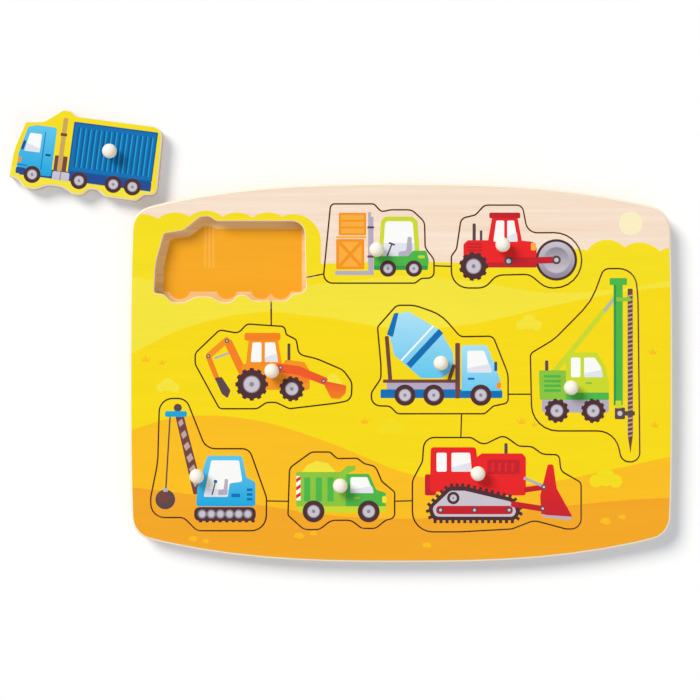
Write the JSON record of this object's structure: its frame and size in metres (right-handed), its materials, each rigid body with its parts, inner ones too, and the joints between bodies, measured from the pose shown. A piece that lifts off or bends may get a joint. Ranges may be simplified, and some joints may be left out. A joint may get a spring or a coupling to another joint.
{
  "type": "wooden peg puzzle",
  "caption": "Flat wooden peg puzzle: a sawn plywood board on a thin backing with lift-out vehicle pieces, each carrying a small turned peg, and a piece lying loose beside its empty well.",
  "frame": {"origin": "centre of the board's underside", "axes": "+X right along the board's long side, +Y up the picture, +Z out of the printed face"},
  "size_m": [0.3649, 0.2489, 0.02],
  "materials": {
    "board_print": "printed plywood, satin",
    "backing_ply": "bare plywood",
    "peg_wood": "turned wood, sealed",
    "truck_print": "printed plywood, satin",
    "forklift_print": "printed plywood, satin",
    "roller_print": "printed plywood, satin",
    "backhoe_print": "printed plywood, satin",
    "mixer_print": "printed plywood, satin",
    "drill_print": "printed plywood, satin",
    "crane_print": "printed plywood, satin",
    "dump_print": "printed plywood, satin",
    "dozer_print": "printed plywood, satin"
  },
  "bodies": {
    "board": {"frame_board": "board_print", "backing_board": "backing_ply"},
    "container_truck": {"container_truck_piece": "truck_print", "container_truck_peg": "peg_wood"},
    "forklift": {"forklift_piece": "forklift_print", "forklift_peg": "peg_wood"},
    "road_roller": {"road_roller_piece": "roller_print", "road_roller_peg": "peg_wood"},
    "backhoe": {"backhoe_piece": "backhoe_print", "backhoe_peg": "peg_wood"},
    "mixer_truck": {"mixer_truck_piece": "mixer_print", "mixer_truck_peg": "peg_wood"},
    "drill_rig": {"drill_rig_piece": "drill_print", "drill_rig_peg": "peg_wood"},
    "wrecking_crane": {"wrecking_crane_piece": "crane_print", "wrecking_crane_peg": "peg_wood"},
    "dump_truck": {"dump_truck_piece": "dump_print", "dump_truck_peg": "peg_wood"},
    "bulldozer": {"bulldozer_piece": "dozer_print", "bulldozer_peg": "peg_wood"}
  },
  "joints": [
    {"name": "container_truck_lift", "type": "slide", "parent": "board", "child": "container_truck", "axis": [0, 0, 1], "range_m": [0, 0.03]},
    {"name": "forklift_lift", "type": "slide", "parent": "board", "child": "forklift", "axis": [0, 0, 1], "range_m": [0, 0.03]},
    {"name": "road_roller_lift", "type": "slide", "parent": "board", "child": "road_roller", "axis": [0, 0, 1], "range_m": [0, 0.03]},
    {"name": "backhoe_lift", "type": "slide", "parent": "board", "child": "backhoe", "axis": [0, 0, 1], "range_m": [0, 0.03]},
    {"name": "mixer_truck_lift", "type": "slide", "parent": "board", "child": "mixer_truck", "axis": [0, 0, 1], "range_m": [0, 0.03]},
    {"name": "drill_rig_lift", "type": "slide", "parent": "board", "child": "drill_rig", "axis": [0, 0, 1], "range_m": [0, 0.03]},
    {"name": "wrecking_crane_lift", "type": "slide", "parent": "board", "child": "wrecking_crane", "axis": [0, 0, 1], "range_m": [0, 0.03]},
    {"name": "dump_truck_lift", "type": "slide", "parent": "board", "child": "dump_truck", "axis": [0, 0, 1], "range_m": [0, 0.03]},
    {"name": "bulldozer_lift", "type": "slide", "parent": "board", "child": "bulldozer", "axis": [0, 0, 1], "range_m": [0, 0.03]}
  ]
}
